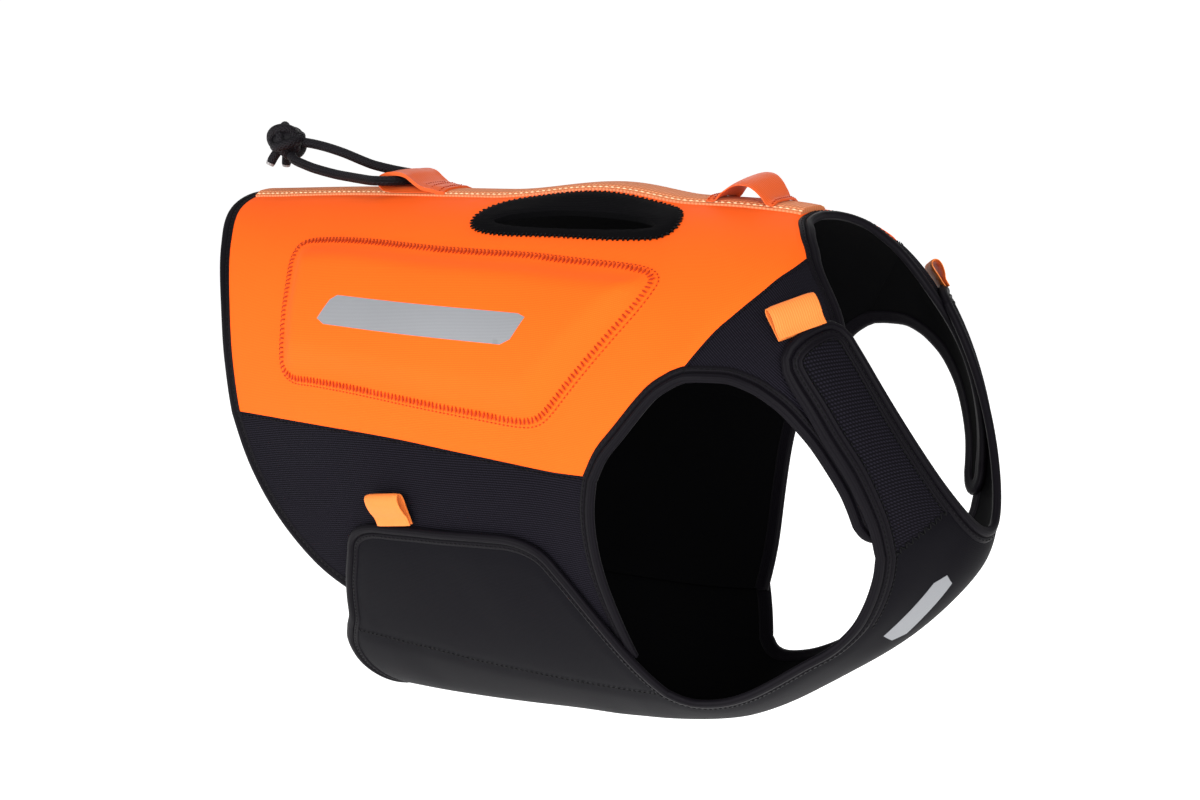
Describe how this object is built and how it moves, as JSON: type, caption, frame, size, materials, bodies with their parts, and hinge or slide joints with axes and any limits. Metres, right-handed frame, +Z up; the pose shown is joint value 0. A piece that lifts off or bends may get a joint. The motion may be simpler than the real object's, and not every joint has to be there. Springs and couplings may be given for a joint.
{
  "type": "dog neoprene vest",
  "caption": "Close-fitting hollow dog vest in neoprene, with a padded orange back, black flanks, belly and chest, a grab handle, webbing loops and a rear pull cord.",
  "frame": {"origin": "inner face of the back under the spine, halfway along the back, where the wearer carries the vest", "axes": "+X to the dog's head, +Y to the dog's left, +Z up"},
  "size_m": [0.4798, 0.2144, 0.3289],
  "materials": {
    "orange_neoprene": "smooth jersey-faced neoprene, soft sheen",
    "black_neoprene": "smooth jersey-faced neoprene, soft sheen",
    "black_loop_cloth": "ribbed loop-faced neoprene, matte",
    "black_binding": "folded stretch tape, soft sheen",
    "orange_webbing": "woven tape, 25 mm wide",
    "black_cord": "braided cord"
  },
  "bodies": {
    "root": {"back_panel_left": "orange_neoprene", "back_panel_right": "orange_neoprene", "float_pad_left": "orange_neoprene", "float_pad_right": "orange_neoprene", "flank_panel_left": "black_loop_cloth", "flank_panel_right": "black_loop_cloth", "shoulder_tongue_left": "black_loop_cloth", "shoulder_tongue_right": "black_loop_cloth", "chest_strap_left": "black_loop_cloth", "chest_strap_right": "black_loop_cloth", "belly_flap_left": "black_neoprene", "belly_flap_right": "black_neoprene", "chest_and_belly": "black_neoprene", "handle_trim_left": "black_binding", "handle_trim_right": "black_binding", "hem_binding": "black_binding", "leg_binding_left": "black_binding", "leg_binding_right": "black_binding", "neck_binding": "black_binding", "flap_binding_left": "black_binding", "flap_binding_right": "black_binding", "strap_binding_left": "black_binding", "strap_binding_right": "black_binding", "chest_neck_binding": "black_binding", "belly_hem_binding": "black_binding", "spine_webbing": "orange_webbing", "leash_loop": "orange_webbing", "rear_loop": "orange_webbing", "shoulder_tab_left": "orange_webbing", "shoulder_tab_right": "orange_webbing", "flap_tab_left": "orange_webbing", "flap_tab_right": "orange_webbing", "rear_cord": "black_cord", "cord_knot": "black_cord", "cord_tail_left": "black_cord", "cord_tail_right": "black_cord"}
  },
  "joints": []
}
